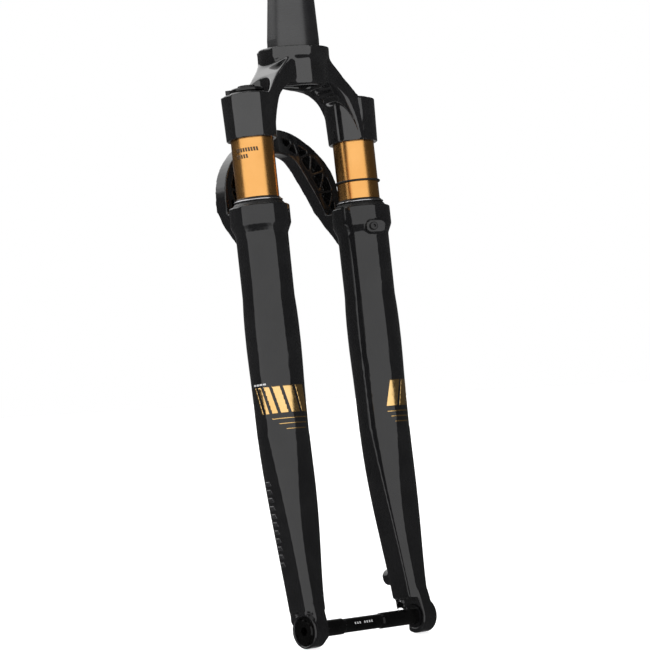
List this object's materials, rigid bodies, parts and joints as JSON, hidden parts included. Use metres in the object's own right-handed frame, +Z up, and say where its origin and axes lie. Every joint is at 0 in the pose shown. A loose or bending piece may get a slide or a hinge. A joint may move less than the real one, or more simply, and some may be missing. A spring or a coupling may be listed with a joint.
{
  "type": "suspension fork",
  "caption": "Short-travel air suspension fork with tapered steerer, arch behind the legs, through axle and flat brake mount.",
  "frame": {"origin": "centre of the crown race seat, on the steerer axis", "axes": "+Z up the steerer, +X forward in the riding direction, +Y to the rider's left"},
  "size_m": [0.0943, 0.1496, 0.7039],
  "materials": {
    "gloss_black_paint": "glossy black paint over a casting",
    "satin_black_anodise": "satin black anodised",
    "gold_coating": "polished gold-coloured low-friction coating",
    "black_anodise": "gloss black anodised",
    "black_rubber": "moulded rubber",
    "steel": "plain steel",
    "shaft_chrome": "hard-chromed shaft",
    "bare_aluminium": "machined aluminium",
    "bushing_bronze": "sintered bronze with a slippery lining",
    "foam": "open-cell foam soaked in oil",
    "black_plastic": "glass-filled plastic",
    "spacer_plastic": "moulded plastic"
  },
  "bodies": {
    "chassis": {"steerer_tube": "satin_black_anodise", "crown": "gloss_black_paint", "stanchion_right": "gold_coating", "stanchion_left": "gold_coating", "damper_top_cap": "black_anodise", "damper_cartridge_tube": "bare_aluminium", "damper_base_valve": "bare_aluminium", "damper_bladder": "black_rubber", "damper_seal_head": "black_plastic", "air_top_cap": "black_anodise", "air_valve_core": "steel", "volume_spacers": "spacer_plastic", "air_seal_head": "black_plastic", "seal_head_clips": "steel", "top_out_bumper": "black_rubber"},
    "lowers": {"lower_casting": "gloss_black_paint", "wiper_seal_right": "black_rubber", "wiper_seal_left": "black_rubber", "wiper_spring_right": "steel", "wiper_spring_left": "steel", "foam_ring_right": "foam", "foam_ring_left": "foam", "upper_bushing_right": "bushing_bronze", "upper_bushing_left": "bushing_bronze", "lower_bushing_right": "bushing_bronze", "lower_bushing_left": "bushing_bronze", "axle_nut": "black_anodise", "hose_guide_screw": "black_anodise", "air_shaft": "shaft_chrome", "air_piston": "black_plastic", "air_piston_seal": "black_rubber", "bottom_out_bumper": "black_rubber", "damper_shaft": "shaft_chrome", "damper_piston": "bare_aluminium", "foot_nut_right": "steel", "foot_screw_left": "steel", "crush_washers": "bare_aluminium"},
    "axle": {"axle": "black_anodise"},
    "rebound_adjuster": {"rebound_knob": "black_anodise", "rebound_rod": "bare_aluminium"},
    "lever": {"compression_lever": "black_anodise"},
    "knob": {"compression_knob": "black_anodise"},
    "valve_cap": {"air_valve_cap": "black_anodise"},
    "travel_ring": {"travel_o_ring": "black_rubber"}
  },
  "joints": [
    {"name": "fork_travel", "type": "slide", "parent": "chassis", "child": "lowers", "axis": [-0.0758, 0, 0.9971], "range_m": [0, 0.04], "stiffness_N_per_m": 9000},
    {"name": "travel_ring_slide", "type": "slide", "parent": "chassis", "child": "travel_ring", "axis": [-0.0758, 0, 0.9971], "range_m": [0, 0.028]},
    {"name": "compression_lever_turn", "type": "hinge", "parent": "chassis", "child": "lever", "pos_m": [0.00259, -0.052, -0.0341], "axis": [-0.0758, 0, 0.9971], "range_deg": [0, 90]},
    {"name": "compression_knob_turn", "type": "hinge", "parent": "chassis", "child": "knob", "pos_m": [0.0024, -0.052, -0.03161], "axis": [-0.0758, 0, 0.9971], "range_deg": [0, 330]},
    {"name": "rebound_knob_turn", "type": "hinge", "parent": "lowers", "child": "rebound_adjuster", "pos_m": [0.03271, -0.052, -0.42996], "axis": [-0.0758, 0, 0.9971], "range_deg": [0, 330]},
    {"name": "axle_withdrawal", "type": "slide", "parent": "lowers", "child": "axle", "axis": [0, -1, 0], "range_m": [0, 0.13]},
    {"name": "valve_cap_removal", "type": "slide", "parent": "chassis", "child": "valve_cap", "axis": [-0.0758, 0, 0.9971], "range_m": [0, 0.03]}
  ],
  "couplings": [
    {"joint": "travel_ring_slide", "follows": "fork_travel", "ratio": 0.7}
  ]
}
